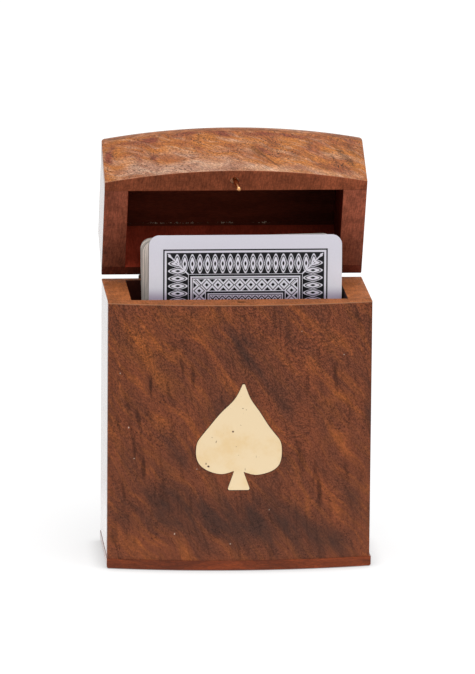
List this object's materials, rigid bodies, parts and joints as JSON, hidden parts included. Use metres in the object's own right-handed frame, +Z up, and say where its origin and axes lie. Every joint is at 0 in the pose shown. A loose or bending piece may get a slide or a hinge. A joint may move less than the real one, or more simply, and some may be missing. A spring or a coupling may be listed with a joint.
{
  "type": "hinged playing card box",
  "caption": "Upright wooden box for a deck of cards, with a bowed front, a brass spade inlay, a hinged lid with a pin catch, and the deck standing inside.",
  "frame": {"origin": "on the underside of the base, in the middle of the width and halfway between the front corners and the back face", "axes": "+Z up through the open lid, +Y to the back where the hinges are, +X to the right seen from the front"},
  "size_m": [0.0767, 0.0581, 0.1228],
  "materials": {
    "front_wood": "satin rosewood, dark reddish brown",
    "side_wood": "satin rosewood, plain straight grain",
    "lid_wood": "satin rosewood, golden brown",
    "base_wood": "satin rosewood, orange brown",
    "inlay_brass": "brushed, pale, with small pits",
    "hinge_brass": "rolled sheet, slightly tarnished",
    "screw_brass": "turned heads with slots",
    "pin_brass": "coppery wire, polished by use",
    "card_stock": "coated card, printed back"
  },
  "bodies": {
    "box": {"base_plate": "base_wood", "front_panel": "front_wood", "back_panel": "side_wood", "left_side_panel": "side_wood", "right_side_panel": "side_wood", "spade_inlay": "inlay_brass", "left_hinge_body_leaf": "hinge_brass", "right_hinge_body_leaf": "hinge_brass", "hinge_pins": "hinge_brass", "body_hinge_screws": "screw_brass", "card_packet_1": "card_stock", "card_packet_2": "card_stock", "card_packet_3": "card_stock", "card_packet_4": "card_stock", "card_packet_5": "card_stock", "card_packet_6": "card_stock"},
    "lid": {"lid_front_panel": "lid_wood", "lid_back_panel": "side_wood", "lid_left_side": "side_wood", "lid_right_side": "side_wood", "lid_top_board": "lid_wood", "catch_pin": "pin_brass", "left_hinge_lid_leaf": "hinge_brass", "right_hinge_lid_leaf": "hinge_brass", "lid_hinge_screws": "screw_brass"}
  },
  "joints": [
    {"name": "lid_hinge", "type": "hinge", "parent": "box", "child": "lid", "pos_m": [0, 0.0179, 0.07875], "axis": [-1, 0, 0], "range_deg": [-63.1, 116.9]}
  ]
}
